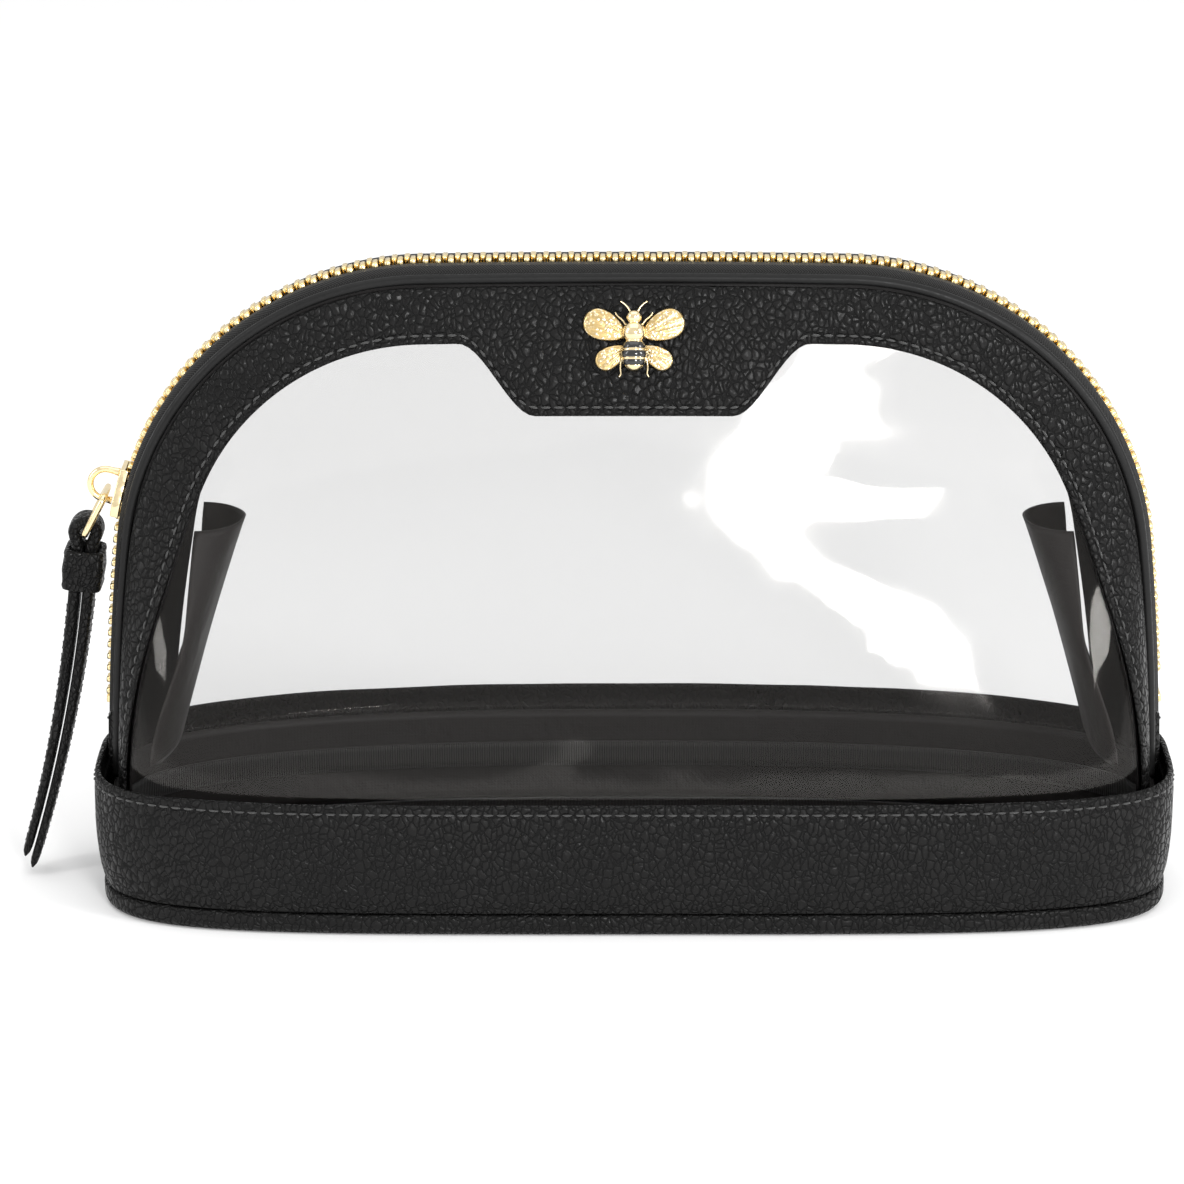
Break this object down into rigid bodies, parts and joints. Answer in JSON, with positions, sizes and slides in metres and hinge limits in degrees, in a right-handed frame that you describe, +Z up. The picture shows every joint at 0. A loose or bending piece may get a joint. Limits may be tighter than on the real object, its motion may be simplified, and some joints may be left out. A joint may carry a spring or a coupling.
{
  "type": "makeup bag",
  "caption": "Arched half-moon makeup bag with clear front and rear windows, leather frame and base, metal zip over the top and a looped leather pull.",
  "frame": {"origin": "centre of the underside of the base", "axes": "+Z up, +X to the right across the width, the front with the ornament faces -Y"},
  "size_m": [0.2642, 0.084, 0.1468],
  "materials": {
    "pebbled_leather": "pebbled, satin",
    "piping_leather": "smooth, satin",
    "pull_leather": "fine grain, satin",
    "lining_cloth": "matte plain weave",
    "gusset_cloth": "matte plain weave",
    "ribbed_binding": "grosgrain",
    "stiffener": "plain board",
    "clear_pvc": "clear flexible sheet",
    "zip_tape": "herringbone tape",
    "zip_metal": "polished",
    "gold_metal": "polished pale gold",
    "black_enamel": "gloss enamel"
  },
  "bodies": {
    "bag": {"base_panel": "pebbled_leather", "base_board": "stiffener", "base_band": "pebbled_leather", "floor_lining": "lining_cloth", "band_lining": "lining_cloth", "seam_binding": "ribbed_binding", "front_window": "clear_pvc", "rear_window": "clear_pvc", "front_frame": "pebbled_leather", "rear_frame": "pebbled_leather", "front_backing": "piping_leather", "rear_backing": "piping_leather", "front_piping": "piping_leather", "rear_piping": "piping_leather", "zip_tape_front": "zip_tape", "zip_tape_rear": "zip_tape", "zip_teeth_front": "zip_metal", "zip_teeth_rear": "zip_metal", "zip_top_stops": "zip_metal", "zip_bottom_stop": "zip_metal", "side_tab_left": "pebbled_leather", "side_tab_right": "pebbled_leather", "gusset_left": "gusset_cloth", "gusset_right": "gusset_cloth", "ornament_wings": "gold_metal", "ornament_body": "gold_metal", "ornament_bands": "black_enamel"},
    "slider": {"slider_body": "gold_metal", "slider_bail": "gold_metal"},
    "link": {"pull_link": "gold_metal"},
    "pull": {"pull_strap": "pull_leather", "pull_keeper": "pull_leather"}
  },
  "joints": [
    {"name": "slider_travel", "type": "hinge", "parent": "bag", "child": "slider", "pos_m": [-0.046, 0, 0.0746], "axis": [0, 1, 0], "range_deg": [0, 65], "deforming": ["zip_teeth_front", "zip_teeth_rear"]},
    {"name": "link_swing", "type": "hinge", "parent": "slider", "child": "link", "pos_m": [-0.1191, 0, 0.0917], "axis": [0, 1, 0], "range_deg": [-2, 135]},
    {"name": "pull_swing", "type": "hinge", "parent": "link", "child": "pull", "pos_m": [-0.12388, 0, 0.08269], "axis": [0, 1, 0], "range_deg": [-4, 25]}
  ]
}
